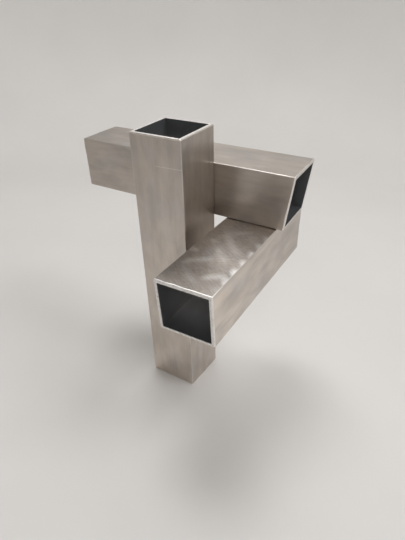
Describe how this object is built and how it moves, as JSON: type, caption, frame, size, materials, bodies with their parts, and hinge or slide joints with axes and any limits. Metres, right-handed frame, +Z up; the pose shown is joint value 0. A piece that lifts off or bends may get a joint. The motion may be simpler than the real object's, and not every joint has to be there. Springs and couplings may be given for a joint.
{
  "type": "abstract sculpture",
  "caption": "Table sculpture of square aluminium tube, joined face to face: a leaning upright, a cross tube behind it and a lower tube running front to back, with open black ends.",
  "frame": {"origin": "on the ground, below the middle of the whole work's box", "axes": "+Z up; -Y towards the viewer, the way the work leans; +X to the viewer's right, along the cross tube"},
  "size_m": [0.2338, 0.1824, 0.2735],
  "materials": {
    "upright_aluminium": "satin, brushed lengthwise and faintly smudged, sawn ends bright, inside painted matt black",
    "cross_aluminium": "satin, brushed lengthwise and faintly smudged, sawn ends bright, inside painted matt black",
    "lower_aluminium": "satin, top face sanded by hand in arcs, sawn ends bright, inside painted matt black"
  },
  "bodies": {
    "root": {"upright_tube": "upright_aluminium", "cross_tube": "cross_aluminium", "lower_tube": "lower_aluminium"}
  },
  "joints": []
}
